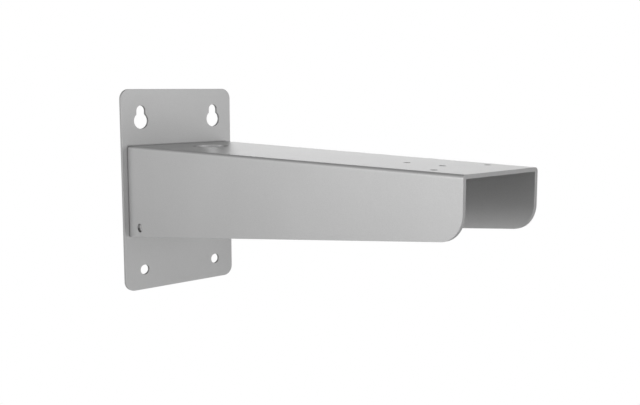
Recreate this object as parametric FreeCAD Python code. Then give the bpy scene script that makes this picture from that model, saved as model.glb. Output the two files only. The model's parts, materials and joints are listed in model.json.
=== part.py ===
import FreeCAD, Part
import math
import os

from FreeCAD import Vector

# Wall bracket for a camera: a folded arm welded square to a flat wall plate.
# Sizes are in millimetres. X points out of the wall, Y to the side and Z up.
# The origin is the middle of the plate's wall face.

# Folded arm, an upside-down channel that narrows towards its front end
arm_length = 400.0
arm_thickness = 3.0
arm_height_at_wall = 90.0
arm_height_at_front = 45.0
arm_width_at_front = 85.0
bend_inner_radius = 0.5
bend_outer_radius = 3.0
front_corner_radius = 20.0
wall_end_chamfer = 0.8

# Cable hole in the arm's top, near the wall
cable_hole_diameter = 35.0
cable_hole_from_plate = 55.0

# Holes for the camera in the arm's top, near the front end
camera_circle_diameter = 70.0
camera_hole_count = 3
camera_hole_diameter = 5.5
centre_hole_diameter = 5.5
camera_circle_from_front = 53.0

# Single hole low in one side of the arm
side_hole_diameter = 8.5
side_hole_from_plate = 18.5
side_hole_above_corner = 11.0

# Wall plate, which stands out past the arm on all sides
plate_thickness = 3.0
plate_beside_arm = 5.5
plate_above_arm = 55.0
plate_width = 130.0
plate_corner_radius = 10.0

# Fixing holes in the plate: keyholes in the upper row, round holes in the lower one
fixing_from_side = 22.0
fixing_from_bottom = 20.0
fixing_hole_diameter = 10.0
keyhole_from_top = 21.0
keyhole_slot_width = 10.0
keyhole_entry_diameter = 16.0
keyhole_drop = 10.0

# Fillet welds in the inside corners between arm and plate
weld_leg = 4.0
weld_crown = 0.6
weld_short_of_edges = 8.0

# Cutting tools run this far past the faces that they cut
overrun = 5.0

OUT_OF_WALL = Vector(1, 0, 0)
UP = Vector(0, 0, 1)

arm_start = plate_thickness
arm_end = arm_start + arm_length
arm_width_at_wall = plate_width - 2 * plate_beside_arm
arm_top = arm_height_at_wall / 2
arm_bottom_at_wall = arm_top - arm_height_at_wall
arm_bottom_at_front = arm_top - arm_height_at_front
web_underside = arm_top - arm_thickness
taper_angle = math.atan2((arm_width_at_wall - arm_width_at_front) / 2, arm_length)

plate_height = arm_height_at_wall + 2 * plate_above_arm
fixing_side = plate_width / 2 - fixing_from_side
fixing_row = fixing_from_bottom - plate_height / 2
keyhole_row = plate_height / 2 - keyhole_from_top


def arm_side(x, inset):
    """Distance from the middle plane to a side of the arm at x, moved inwards by inset."""
    outer = arm_width_at_wall / 2 - (x - arm_start) * math.tan(taper_angle)
    return outer - inset / math.cos(taper_angle)


def tapered_block(start, end, inset, bottom, top, bend_radius):
    """Block with the arm's taper in plan, its two long top edges rounded as a bend is."""
    near, far = arm_side(start, inset), arm_side(end, inset)
    corners = [(start, -near), (end, -far), (end, far), (start, near), (start, -near)]
    outline = Part.makePolygon([Vector(x, y, bottom) for x, y in corners])
    block = Part.Face(outline).extrude(UP * (top - bottom))
    return block.makeFillet(bend_radius, long_top_edges(block, top))


def long_top_edges(block, top):
    """The edges of the top face that run from the wall end to the front end."""
    found = []
    for edge in block.Edges:
        first, last = edge.Vertexes[0].Point, edge.Vertexes[-1].Point
        level = abs(first.z - top) < 1e-6 and abs(last.z - top) < 1e-6
        if level and abs(first.x - last.x) > arm_thickness:
            found.append(edge)
    return found


def wall_end_edges(block):
    """The edges round the block's wall end, without the one along its bottom."""
    found = []
    for edge in block.Edges:
        middle = edge.valueAt((edge.FirstParameter + edge.LastParameter) / 2)
        at_wall = all(abs(vertex.X - arm_start) < 1e-6 for vertex in edge.Vertexes)
        if at_wall and middle.z > arm_bottom_at_wall + 1e-6:
            found.append(edge)
    return found


def side_view():
    """Slab with the arm's outline from the side: lower edges that rise to a round corner."""
    half = plate_width
    corners = [
        (arm_start, arm_top),
        (arm_start, arm_bottom_at_wall),
        (arm_end, arm_bottom_at_front),
        (arm_end, arm_top),
        (arm_start, arm_top),
    ]
    outline = Part.makePolygon([Vector(x, -half, z) for x, z in corners])
    slab = Part.Face(outline).extrude(Vector(0, 2 * half, 0))
    front_corner = [e for e in slab.Edges if is_front_corner(e)]
    return slab.makeFillet(front_corner_radius, front_corner)


def is_front_corner(edge):
    """True for the edge across the slab at its lower front corner."""
    ends = [vertex.Point for vertex in edge.Vertexes]
    return all(
        abs(p.x - arm_end) < 1e-6 and abs(p.z - arm_bottom_at_front) < 1e-6 for p in ends
    )


def web_hole(x, y, diameter):
    """Round cutter through the arm's top."""
    base = Vector(x, y, web_underside - overrun)
    return Part.makeCylinder(diameter / 2, arm_thickness + 2 * overrun, base, UP)


def camera_holes():
    """A centre hole with equally spaced holes round it, one of them towards the wall."""
    centre = arm_end - camera_circle_from_front
    cutters = [web_hole(centre, 0, centre_hole_diameter)]
    for number in range(camera_hole_count):
        angle = math.pi + 2 * math.pi * number / camera_hole_count
        x = centre + camera_circle_diameter / 2 * math.cos(angle)
        y = camera_circle_diameter / 2 * math.sin(angle)
        cutters.append(web_hole(x, y, camera_hole_diameter))
    return cutters


def side_hole():
    """Round cutter square through the side of the arm at negative Y."""
    x = arm_start + side_hole_from_plate
    z = arm_bottom_at_wall + side_hole_above_corner
    outwards = Vector(math.sin(taper_angle), -math.cos(taper_angle), 0)
    on_face = Vector(x, -arm_side(x, 0), z)
    length = arm_thickness + 2 * overrun
    base = on_face + outwards * overrun
    return Part.makeCylinder(side_hole_diameter / 2, length, base, outwards * -1)


def make_support_arm():
    """One sheet folded to an upside-down channel, with its holes and its chamfered wall end."""
    outside = tapered_block(
        arm_start, arm_end, 0, arm_bottom_at_wall, arm_top, bend_outer_radius
    )
    outside = outside.makeChamfer(wall_end_chamfer, wall_end_edges(outside))
    inside = tapered_block(
        arm_start - overrun,
        arm_end + overrun,
        arm_thickness,
        arm_bottom_at_wall - overrun,
        web_underside,
        bend_inner_radius,
    )
    channel = outside.cut(inside).common(side_view())
    cable_hole = web_hole(arm_start + cable_hole_from_plate, 0, cable_hole_diameter)
    return channel.cut([cable_hole, side_hole()] + camera_holes())


def plate_hole(y, z, diameter):
    """Round cutter through the wall plate."""
    base = Vector(-overrun, y, z)
    return Part.makeCylinder(
        diameter / 2, plate_thickness + 2 * overrun, base, OUT_OF_WALL
    )


def keyhole(y, z):
    """Cutter for a keyhole: its slot ends at z, and its round entry is below."""
    slot = Part.makeBox(
        plate_thickness + 2 * overrun,
        keyhole_slot_width,
        keyhole_drop,
        Vector(-overrun, y - keyhole_slot_width / 2, z - keyhole_drop),
    )
    slot_end = plate_hole(y, z, keyhole_slot_width)
    entry = plate_hole(y, z - keyhole_drop, keyhole_entry_diameter)
    return slot.fuse([slot_end, entry]).removeSplitter()


def make_wall_plate():
    """Flat plate with round corners, two keyholes and two round holes."""
    blank = Part.makeBox(
        plate_thickness,
        plate_width,
        plate_height,
        Vector(0, -plate_width / 2, -plate_height / 2),
    )
    corners = [e for e in blank.Edges if abs(e.tangentAt(e.FirstParameter).x) > 0.5]
    plate = blank.makeFillet(plate_corner_radius, corners)
    cutters = []
    for side in (-1, 1):
        cutters.append(keyhole(side * fixing_side, keyhole_row))
        cutters.append(plate_hole(side * fixing_side, fixing_row, fixing_hole_diameter))
    return plate.cut(cutters)


def weld_bead(corner, along_arm, along_plate, run):
    """Bead that fills an inside corner, with a slightly crowned face, along run."""
    arm_toe = corner + along_arm * weld_leg
    plate_toe = corner + along_plate * weld_leg
    outwards = (along_arm + along_plate).normalize()
    crown = (arm_toe + plate_toe) * 0.5 + outwards * weld_crown
    edges = [
        Part.makeLine(corner, arm_toe),
        Part.Arc(arm_toe, crown, plate_toe).toShape(),
        Part.makeLine(plate_toe, corner),
    ]
    return Part.Face(Part.Wire(edges)).extrude(run)


def make_inner_welds():
    """One bead under the arm's top and one down each of its sides."""
    side = arm_side(arm_start, arm_thickness)
    half = side - weld_short_of_edges
    across = Vector(0, 2 * half, 0)
    beads = [
        weld_bead(Vector(arm_start, -half, web_underside), OUT_OF_WALL, UP * -1, across)
    ]
    top = web_underside - weld_short_of_edges
    bottom = arm_bottom_at_wall + weld_short_of_edges
    for sign in (-1, 1):
        corner = Vector(arm_start, sign * side, bottom)
        along_arm = Vector(math.cos(taper_angle), -sign * math.sin(taper_angle), 0)
        beads.append(
            weld_bead(corner, along_arm, Vector(0, -sign, 0), UP * (top - bottom))
        )
    return Part.makeCompound(beads)


os.makedirs("parts", exist_ok=True)
make_wall_plate().exportStep("parts/wall_plate.step")
make_support_arm().exportStep("parts/support_arm.step")
make_inner_welds().exportStep("parts/inner_welds.step")
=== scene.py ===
import json
import math
import random

import bmesh
import bpy
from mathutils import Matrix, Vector


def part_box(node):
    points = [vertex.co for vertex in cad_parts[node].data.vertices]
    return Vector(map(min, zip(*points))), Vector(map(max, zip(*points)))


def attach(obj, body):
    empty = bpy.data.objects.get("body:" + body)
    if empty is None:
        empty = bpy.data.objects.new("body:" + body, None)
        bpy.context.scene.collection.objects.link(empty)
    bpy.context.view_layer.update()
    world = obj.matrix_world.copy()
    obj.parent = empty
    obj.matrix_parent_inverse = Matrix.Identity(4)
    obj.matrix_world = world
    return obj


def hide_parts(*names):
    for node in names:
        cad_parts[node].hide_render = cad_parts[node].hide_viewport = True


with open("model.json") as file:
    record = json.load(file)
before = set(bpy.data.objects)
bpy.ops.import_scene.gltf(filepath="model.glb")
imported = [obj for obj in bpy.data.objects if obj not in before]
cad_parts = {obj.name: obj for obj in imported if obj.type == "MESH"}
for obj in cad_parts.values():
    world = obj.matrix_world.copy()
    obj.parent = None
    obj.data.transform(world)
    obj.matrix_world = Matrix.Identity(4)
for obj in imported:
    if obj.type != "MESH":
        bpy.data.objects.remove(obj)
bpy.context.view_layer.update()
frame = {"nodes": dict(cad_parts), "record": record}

# Wall plate
# Mild steel sheet of 3 mm, laser-cut with its keyholes and round holes, and its cut edges
# broken so that the coat holds. It is welded to the arm and coated together with it in
# satin silver-grey powder. Painted shade darkens its colour on its hole walls and just above the arm.
EDGE_BREAK = 0.00015
EDGE_BREAK_FACES = 3
SHARP_ANGLE = math.radians(40)
FLAT_ANGLE = math.radians(0.5)
SAME_POINT = 0.000001
LARGE_FACES_LEAD = 100
COAT_DARK = (0.570, 0.570, 0.570, 1)
COAT_LIGHT = (0.630, 0.630, 0.630, 1)
COAT_GLANCING = (0.60, 0.60, 0.60, 1)
COAT_ROUGHNESS = (0.38, 0.42)
CLOUDS_PER_METRE = 11
CLOUD_DETAIL, CLOUD_CRISPNESS = 3.0, 0.5
FLAKES_PER_METRE = 3600
FLAKE_SHARE = 0.45
TONES_FROM, TONES_TO = 0.25, 0.75
PEEL_PER_METRE = 620
PEEL_DETAIL, PEEL_CRISPNESS = 1.5, 0.45
PEEL_LOW, PEEL_HIGH = 0.3, 0.7
PEEL_HEIGHT = 0.000012
# Painted shade: the coat colour is scaled down to this share in holes, in the groove and in corners.
PAINTED_SHADE_FACTOR = 0.60
LIES_ALONG, LIES_ACROSS = 0.3, 0.7
SUDDEN = 0.0001
SHADE_ZONE_DEPTH = 0.001
RIM_WITHOUT_HOLES = 0.007
CORNER_ON_PLATE = 0.001


def add_node(tree, kind, inputs, **settings):
    """A new node with its settings, each input either linked to a socket or set to a value."""
    node = tree.nodes.new(kind)
    for name, value in settings.items():
        setattr(node, name, value)
    for name, value in inputs.items():
        if isinstance(value, bpy.types.NodeSocket):
            tree.links.new(value, node.inputs[name])
        else:
            node.inputs[name].default_value = value
    return node


def number_math(tree, operation, *inputs, **settings):
    """The result of a calculation with one or two numbers."""
    node = add_node(tree, "ShaderNodeMath", dict(enumerate(inputs)), operation=operation, **settings)
    return node.outputs["Value"]


def vector_math(tree, operation, *inputs, result="Vector"):
    """The result of a calculation with one or two vectors."""
    node = add_node(tree, "ShaderNodeVectorMath", dict(enumerate(inputs)), operation=operation)
    return node.outputs[result]


def painted_shade_mask(tree, middle, reach, axis, fade=(SUDDEN, SUDDEN, SUDDEN)):
    """A painted-shade mask: 1 near middle and down to 0 over fade at the edge of reach, on faces that
    lie along axis.

    An axis of zero takes every face.
    """
    place = add_node(tree, "ShaderNodeTexCoord", {}).outputs
    apart = vector_math(tree, "ABSOLUTE", vector_math(tree, "SUBTRACT", place["Object"], middle))
    inside = vector_math(tree, "DIVIDE", vector_math(tree, "SUBTRACT", reach, apart), fade)
    share = add_node(tree, "ShaderNodeSeparateXYZ", {"Vector": inside}).outputs
    least = number_math(tree, "MINIMUM", share["X"], share["Y"])
    least = number_math(tree, "MINIMUM", least, share["Z"])
    near = add_node(tree, "ShaderNodeClamp", {"Value": least}).outputs["Result"]
    facing = vector_math(tree, "DOT_PRODUCT", place["Normal"], axis, result="Value")
    along = add_node(tree, "ShaderNodeMapRange", {
        "Value": number_math(tree, "ABSOLUTE", facing),
        "From Min": LIES_ACROSS, "From Max": LIES_ALONG})
    return number_math(tree, "MULTIPLY", near, along.outputs["Result"])


def powder_coat(name, roughness, peel_height, painted_shade_zones=()):
    """Silver-grey powder: fine metal flakes under a faintly dimpled, slightly uneven skin, its colour
    darkened by painted shade in the given zones.
    """
    material = bpy.data.materials.new(name)
    material.use_nodes = True
    tree = material.node_tree
    shader = tree.nodes["Principled BSDF"]
    place = add_node(tree, "ShaderNodeTexCoord", {}).outputs["Object"]
    clouds = add_node(tree, "ShaderNodeTexNoise", {
        "Vector": place, "Scale": CLOUDS_PER_METRE,
        "Detail": CLOUD_DETAIL, "Roughness": CLOUD_CRISPNESS})
    peel = add_node(tree, "ShaderNodeTexNoise", {
        "Vector": place, "Scale": PEEL_PER_METRE,
        "Detail": PEEL_DETAIL, "Roughness": PEEL_CRISPNESS})
    flakes = add_node(tree, "ShaderNodeTexVoronoi", {"Vector": place, "Scale": FLAKES_PER_METRE})
    flake_grey = add_node(tree, "ShaderNodeSeparateColor", {"Color": flakes.outputs["Color"]})
    tone = add_node(tree, "ShaderNodeMix", {
        "Factor": FLAKE_SHARE, "A": clouds.outputs["Fac"], "B": flake_grey.outputs["Red"]},
        data_type="FLOAT")
    grey = add_node(tree, "ShaderNodeValToRGB", {"Fac": tone.outputs["Result"]})
    dark_end, light_end = grey.color_ramp.elements
    dark_end.position = TONES_FROM
    dark_end.color = COAT_DARK
    light_end.position = TONES_TO
    light_end.color = COAT_LIGHT
    satin = add_node(tree, "ShaderNodeMapRange", {
        "Value": peel.outputs["Fac"], "From Min": PEEL_LOW, "From Max": PEEL_HIGH,
        "To Min": roughness[0], "To Max": roughness[1]})
    dimples = add_node(tree, "ShaderNodeBump", {
        "Height": peel.outputs["Fac"], "Distance": peel_height, "Strength": 1.0})
    colour = grey.outputs["Color"]
    # Painted shade: each zone darkens the colour where shade falls in hollows and corners.
    for zone in painted_shade_zones:
        shade_factor = add_node(tree, "ShaderNodeMapRange", {
            "Value": painted_shade_mask(tree, *zone), "To Min": 1.0, "To Max": PAINTED_SHADE_FACTOR})
        shade = add_node(tree, "ShaderNodeVectorMath", {
            0: colour, "Scale": shade_factor.outputs["Result"]}, operation="SCALE")
        colour = shade.outputs["Vector"]
    tree.links.new(colour, shader.inputs["Base Color"])
    tree.links.new(satin.outputs["Result"], shader.inputs["Roughness"])
    tree.links.new(dimples.outputs["Normal"], shader.inputs["Normal"])
    shader.inputs["Metallic"].default_value = 1.0
    shader.inputs["Specular Tint"].default_value = COAT_GLANCING
    return material


def finish_sheet(piece, material):
    """Coats a sheet and breaks its sharp edges; its flat faces stay flat."""
    piece.data.materials.clear()
    piece.data.materials.append(material)
    joined = piece.modifiers.new("joined_faces", "WELD")
    joined.merge_threshold = SAME_POINT
    flats = piece.modifiers.new("whole_flats", "DECIMATE")
    flats.decimate_type = "DISSOLVE"
    flats.angle_limit = FLAT_ANGLE
    edges = piece.modifiers.new("broken_edges", "BEVEL")
    edges.width = EDGE_BREAK
    edges.segments = EDGE_BREAK_FACES
    edges.limit_method = "ANGLE"
    edges.angle_limit = SHARP_ANGLE
    edges.miter_outer = "MITER_ARC"
    edges.use_clamp_overlap = False
    shading = piece.modifiers.new("even_shading", "WEIGHTED_NORMAL")
    shading.mode = "FACE_AREA"
    shading.weight = LARGE_FACES_LEAD
    shading.keep_sharp = False


wall_plate = frame["nodes"]["wall_plate"]
plate_low, plate_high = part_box("wall_plate")
plate_half = (plate_high - plate_low) / 2
# Painted shade on the walls of the plate's holes.
plate_reach = plate_half + Vector((SHADE_ZONE_DEPTH, -RIM_WITHOUT_HOLES, -RIM_WITHOUT_HOLES))
painted_shade_in_plate_holes = (plate_low + plate_half, plate_reach, (1, 0, 0))

arm_low, arm_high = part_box("support_arm")
corner = Vector((arm_low.x, 0, arm_high.z))
every_face = (0, 0, 0)
# Painted shade on the plate in the corner just above the arm's top.
painted_shade_above_arm_on_plate = (corner, Vector((SHADE_ZONE_DEPTH, arm_high.y, CORNER_ON_PLATE)), every_face,
                Vector((SUDDEN, SUDDEN, CORNER_ON_PLATE)))

plate_coat = powder_coat("plate_coat", COAT_ROUGHNESS, PEEL_HEIGHT, [painted_shade_in_plate_holes, painted_shade_above_arm_on_plate])
finish_sheet(wall_plate, plate_coat)

# Support arm
# One 3 mm sheet, cut and then folded to an upside-down channel with tight bends. Its wall end
# stands square on the plate, and the chamfer round its outside leaves a fine groove there.
# Painted shade darkens its colour in its small holes, in the groove and on its top beside it.
MILLIMETRE = 0.001
SMALL_HOLE_RADIUS = 0.005
HOLE_MARGIN = 0.0015
GROOVE_WIDTH = 0.0009
CORNER_ON_ARM = 0.012

support_arm = frame["nodes"]["support_arm"]
# Painted shade in the arm's small holes, in the groove at its wall end and on its top fading away from
# the plate.
painted_shade_on_arm = []
for bore in [mount for mount in frame["record"]["mounts"] if mount["kind"] == "bore"]:
    radius = bore["dims"]["r_mm"] * MILLIMETRE
    if radius < SMALL_HOLE_RADIUS:
        hole_reach = Vector((1, 1, 1)) * (radius + HOLE_MARGIN)
        painted_shade_on_arm.append((Vector(bore["pos_m"]), hole_reach, bore["axis"]))
groove = Vector((arm_low.x, 0, 0))
painted_shade_on_arm.append((groove, Vector((GROOVE_WIDTH, plate_high.y, plate_high.z)), every_face))
painted_shade_on_arm.append((corner, Vector((CORNER_ON_ARM, arm_high.y, SHADE_ZONE_DEPTH)), every_face,
                    Vector((CORNER_ON_ARM, SUDDEN, SUDDEN))))

arm_coat = powder_coat("arm_coat", COAT_ROUGHNESS, PEEL_HEIGHT, painted_shade_on_arm)
finish_sheet(support_arm, arm_coat)

# Inner welds
# Three hand-laid fillet welds in the inside corners of the channel, with the overlapping
# ripples of a moving arc and rounded starts and stops, coated with the rest.
RIPPLE_PITCH = 0.0019
RIPPLE_HEIGHT = 0.00022
RIPPLE_BOW = 0.0011
RIPPLE_BLUNTNESS = 0.7
PITCH_DRIFT = 0.35
BEAD_CROWN = 0.0005
BEAD_STEP = 0.00024
BEAD_ACROSS = 14
BEAD_END = 0.0032
BEAD_END_SIZE = 0.1
BEAD_SHORT_OF_CORNERS = 0.008
BEAD_WANDER = 0.00022
BEAD_BITE = 0.00004
DRIFT_WAVES = 4
SHORTEST_WAVE, LONGEST_WAVE = 0.008, 0.03
BEAD_SEED = 7
WELD_ROUGHNESS = (0.41, 0.46)
WELD_PEEL_HEIGHT = 0.00003
ARM_LENGTH = 0.400
ARM_HALF_WIDTH_AT_WALL, ARM_HALF_WIDTH_AT_FRONT = 0.0595, 0.0425


def wander(draw):
    """A slow, smooth drift between -1 and 1 along a bead, as a hand has."""
    waves = [(draw.uniform(SHORTEST_WAVE, LONGEST_WAVE), draw.uniform(0, 1))
             for _ in range(DRIFT_WAVES)]
    return lambda s: sum(math.sin(2 * math.pi * (s / span + turn)) for span, turn in waves) / len(waves)


def lay_bead(mesh, draw, corner, along, on_arm, on_plate, length, leg):
    """Adds one closed bead: rows of points across its face, closed behind through the corner."""
    outwards = (on_arm + on_plate).normalized()
    arm_drift, plate_drift, pitch_drift = (wander(draw) for _ in range(3))
    rows = []
    for step in range(int(length / BEAD_STEP) + 1):
        s = min(step * BEAD_STEP, length)
        from_end = min(min(s, length - s) / BEAD_END, 1.0)
        swell = math.sqrt(1 - (1 - from_end) ** 2) * (1 - BEAD_END_SIZE) + BEAD_END_SIZE
        arm_toe = on_arm * (leg * swell + BEAD_WANDER * arm_drift(s) * swell)
        plate_toe = on_plate * (leg * swell + BEAD_WANDER * plate_drift(s) * swell)
        row = []
        for across in range(BEAD_ACROSS + 1):
            u = across / BEAD_ACROSS
            hump = 4 * u * (1 - u)
            phase = (s + RIPPLE_BOW * hump) / RIPPLE_PITCH + PITCH_DRIFT * pitch_drift(s)
            ripple = abs(math.sin(math.pi * phase)) ** RIPPLE_BLUNTNESS
            rise = (BEAD_CROWN * hump + RIPPLE_HEIGHT * ripple * math.sqrt(hump)) * swell
            row.append(mesh.verts.new(
                corner + along * s + arm_toe.lerp(plate_toe, u) + outwards * (rise - BEAD_BITE)))
        row.append(mesh.verts.new(corner + along * s - outwards * BEAD_BITE))
        rows.append(row)
    for first, second in zip(rows, rows[1:]):
        for k in range(len(first)):
            after = (k + 1) % len(first)
            mesh.faces.new((first[k], first[after], second[after], second[k]))
    mesh.faces.new(rows[0])
    mesh.faces.new(reversed(rows[-1]))


weld_low, weld_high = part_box("inner_welds")
leg = weld_high.x - weld_low.x
half_top_bead = weld_high.y - BEAD_SHORT_OF_CORNERS
side_bead = weld_high.z - BEAD_SHORT_OF_CORNERS - weld_low.z
taper = math.atan2(ARM_HALF_WIDTH_AT_WALL - ARM_HALF_WIDTH_AT_FRONT, ARM_LENGTH)
draw = random.Random(BEAD_SEED)
beads = bmesh.new()
lay_bead(beads, draw, Vector((weld_low.x, -half_top_bead, weld_high.z)), Vector((0, 1, 0)),
         Vector((1, 0, 0)), Vector((0, 0, -1)), 2 * half_top_bead, leg)
for side in (-1, 1):
    lay_bead(beads, draw, Vector((weld_low.x, side * weld_high.y, weld_low.z)),
             Vector((0, 0, 1)), Vector((math.cos(taper), -side * math.sin(taper), 0)),
             Vector((0, -side, 0)), side_bead, leg)
bmesh.ops.recalc_face_normals(beads, faces=beads.faces)
bead_mesh = bpy.data.meshes.new("weld_beads")
beads.to_mesh(bead_mesh)
beads.free()
bead_mesh.shade_smooth()
weld_beads = bpy.data.objects.new("weld_beads", bead_mesh)
bpy.context.scene.collection.objects.link(weld_beads)
bead_mesh.materials.append(powder_coat("weld_coat", WELD_ROUGHNESS, WELD_PEEL_HEIGHT))
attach(weld_beads, "root")
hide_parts("inner_welds")

# Floor
# A plain pale studio floor well below the bracket. The camera sees it as white, darkened
# only by the bracket's own soft shadow.
FLOOR_LEVEL = -1.2
FLOOR_HALF = 4.0
FLOOR_COLOUR = (0.82, 0.82, 0.82, 1)
FLOOR_LIFT = 0.58
SHADOW_NEAR, SHADOW_FAR = 1.2, 2.4

floor_mesh = bpy.data.meshes.new("floor")
floor_mesh.from_pydata(
    [(x * FLOOR_HALF, y * FLOOR_HALF, FLOOR_LEVEL) for x, y in ((-1, -1), (1, -1), (1, 1), (-1, 1))],
    [], [(0, 1, 2, 3)])
floor = bpy.data.objects.new("floor", floor_mesh)
bpy.context.scene.collection.objects.link(floor)
floor_paint = bpy.data.materials.new("floor_paint")
floor_paint.use_nodes = True
tree = floor_paint.node_tree
tree.nodes.remove(tree.nodes["Principled BSDF"])
rays = add_node(tree, "ShaderNodeLightPath", {}).outputs
spot = add_node(tree, "ShaderNodeTexCoord", {}).outputs["Object"]
level_spot = vector_math(tree, "MULTIPLY", spot, (1, 1, 0))
in_shadow = add_node(tree, "ShaderNodeMapRange", {
    "Value": vector_math(tree, "LENGTH", level_spot, result="Value"),
    "From Min": SHADOW_NEAR, "From Max": SHADOW_FAR, "To Min": 1.0, "To Max": 0.0},
    interpolation_type="SMOOTHSTEP")
paint = add_node(tree, "ShaderNodeBsdfDiffuse", {"Color": FLOOR_COLOUR})
lift = add_node(tree, "ShaderNodeEmission", {"Strength": FLOOR_LIFT})
lifted = add_node(tree, "ShaderNodeAddShader", {0: paint.outputs[0], 1: lift.outputs[0]})
white = add_node(tree, "ShaderNodeEmission", {"Strength": 1.0})
seen = add_node(tree, "ShaderNodeMixShader", {
    0: in_shadow.outputs["Result"], 1: white.outputs[0], 2: lifted.outputs[0]})
shown = add_node(tree, "ShaderNodeMixShader", {
    0: rays["Is Camera Ray"], 1: paint.outputs[0], 2: seen.outputs[0]})
tree.links.new(shown.outputs[0], tree.nodes["Material Output"].inputs["Surface"])
floor_mesh.materials.append(floor_paint)

# Room and backdrop
# A pale room, lighter on the key lamp's side, with a white backdrop behind the bracket. The
# camera sees white all round; metal and glass see the backdrop where it stands.
ROOM_DARK, ROOM_LIGHT = 0.331, 0.93
LIGHT_SIDE = math.radians(-80)
DARK_FROM, LIGHT_FROM = math.radians(93), math.radians(23)
BACKDROP_MIDDLE = math.radians(146)
BACKDROP_HALF = math.radians(24)
BACKDROP_TOP = math.radians(12)
BACKDROP_SOFT = math.radians(10)

world = bpy.data.worlds.new("studio")
bpy.context.scene.world = world
world.use_nodes = True
tree = world.node_tree
look = add_node(tree, "ShaderNodeTexCoord", {}).outputs["Generated"]
height = add_node(tree, "ShaderNodeSeparateXYZ", {"Vector": look}).outputs["Z"]
light_side = (math.cos(LIGHT_SIDE), math.sin(LIGHT_SIDE), 0)
room = add_node(tree, "ShaderNodeMapRange", {
    "Value": vector_math(tree, "DOT_PRODUCT", look, light_side, result="Value"),
    "From Min": math.cos(DARK_FROM), "From Max": math.cos(LIGHT_FROM),
    "To Min": ROOM_DARK, "To Max": ROOM_LIGHT}, interpolation_type="SMOOTHSTEP")
heading = vector_math(tree, "NORMALIZE", vector_math(tree, "MULTIPLY", look, (1, 1, 0)))
backdrop_middle = (math.cos(BACKDROP_MIDDLE), math.sin(BACKDROP_MIDDLE), 0)
wide = add_node(tree, "ShaderNodeMapRange", {
    "Value": vector_math(tree, "DOT_PRODUCT", heading, backdrop_middle, result="Value"),
    "From Min": math.cos(BACKDROP_HALF + BACKDROP_SOFT),
    "From Max": math.cos(BACKDROP_HALF - BACKDROP_SOFT)}, interpolation_type="SMOOTHSTEP")
tall = add_node(tree, "ShaderNodeMapRange", {
    "Value": height,
    "From Min": math.sin(BACKDROP_TOP + BACKDROP_SOFT),
    "From Max": math.sin(BACKDROP_TOP - BACKDROP_SOFT)}, interpolation_type="SMOOTHSTEP")
backdrop = number_math(tree, "MULTIPLY", wide.outputs["Result"], tall.outputs["Result"])
rays = add_node(tree, "ShaderNodeLightPath", {}).outputs
mirrored = number_math(tree, "ADD", rays["Is Glossy Ray"], rays["Is Transmission Ray"])
mirrored_backdrop = number_math(tree, "MULTIPLY", mirrored, backdrop)
whitened = number_math(tree, "ADD", rays["Is Camera Ray"], mirrored_backdrop, use_clamp=True)
brightness = add_node(tree, "ShaderNodeMix", {
    "Factor": whitened, "A": room.outputs["Result"], "B": 1.0}, data_type="FLOAT")
tree.links.new(brightness.outputs["Result"], tree.nodes["Background"].inputs["Strength"])
tree.nodes["Background"].inputs["Color"].default_value = (1, 1, 1, 1)

# Softboxes
# Five large soft lamps: the key on the bracket's left, a fill in front of the plate, a low
# strip on its right, a smaller lamp over the backdrop and a weak one overhead. Each has its
# azimuth, elevation, width and height in degrees, seen from the bracket, and its radiance.
LAMP_DISTANCE = 4.0
LIT_POINT = Vector((0.2, 0, 0))
SOFTBOXES = {
    "key": (-103.4, 6.7, 47.3, 27.0, 0.724),
    "fill": (7.6, 3.2, 49.1, 37.3, 0.603),
    "low_strip": (35.0, 9.1, 57.0, 17.1, 0.634),
    "over_backdrop": (132.3, 8.0, 30.8, 24.7, 2.16),
    "overhead": (20.0, 78.0, 50.0, 50.0, 0.38),
}

for name, (azimuth, elevation, wide_angle, tall_angle, radiance) in SOFTBOXES.items():
    lamp = bpy.data.lights.new(name, "AREA")
    lamp.shape = "RECTANGLE"
    lamp.size = 2 * LAMP_DISTANCE * math.tan(math.radians(wide_angle / 2))
    lamp.size_y = 2 * LAMP_DISTANCE * math.tan(math.radians(tall_angle / 2))
    lamp.energy = math.pi * lamp.size * lamp.size_y * radiance
    softbox = bpy.data.objects.new(name, lamp)
    bpy.context.scene.collection.objects.link(softbox)
    around, up = math.radians(azimuth), math.radians(elevation)
    direction = Vector((math.cos(up) * math.cos(around), math.cos(up) * math.sin(around), math.sin(up)))
    softbox.location = LIT_POINT + direction * LAMP_DISTANCE
    softbox.rotation_euler = direction.to_track_quat("Z", "Y").to_euler()
    softbox.visible_camera = False

# Camera
# A normal lens to the left and a little above the bracket, near its free end. It looks down
# by a few degrees, back along the arm to the plate.
SENSOR_WIDTH = 36.0
LENS = 49.555
NEAREST_SEEN, FURTHEST_SEEN = 0.01, 20.0
CAMERA_PLACE = (0.764236, -0.498942, 0.102482)
LOOKS_DOWN = math.radians(7.505)
TURNED_LEFT = math.radians(47.648)

camera_data = bpy.data.cameras.new("camera")
camera_data.sensor_width = SENSOR_WIDTH
camera_data.lens = LENS
camera_data.clip_start = NEAREST_SEEN
camera_data.clip_end = FURTHEST_SEEN
camera = bpy.data.objects.new("camera", camera_data)
bpy.context.scene.collection.objects.link(camera)
camera.location = CAMERA_PLACE
camera.rotation_euler = (math.radians(90) - LOOKS_DOWN, 0, TURNED_LEFT)
bpy.context.scene.camera = camera
bpy.context.scene.view_settings.view_transform = "Standard"
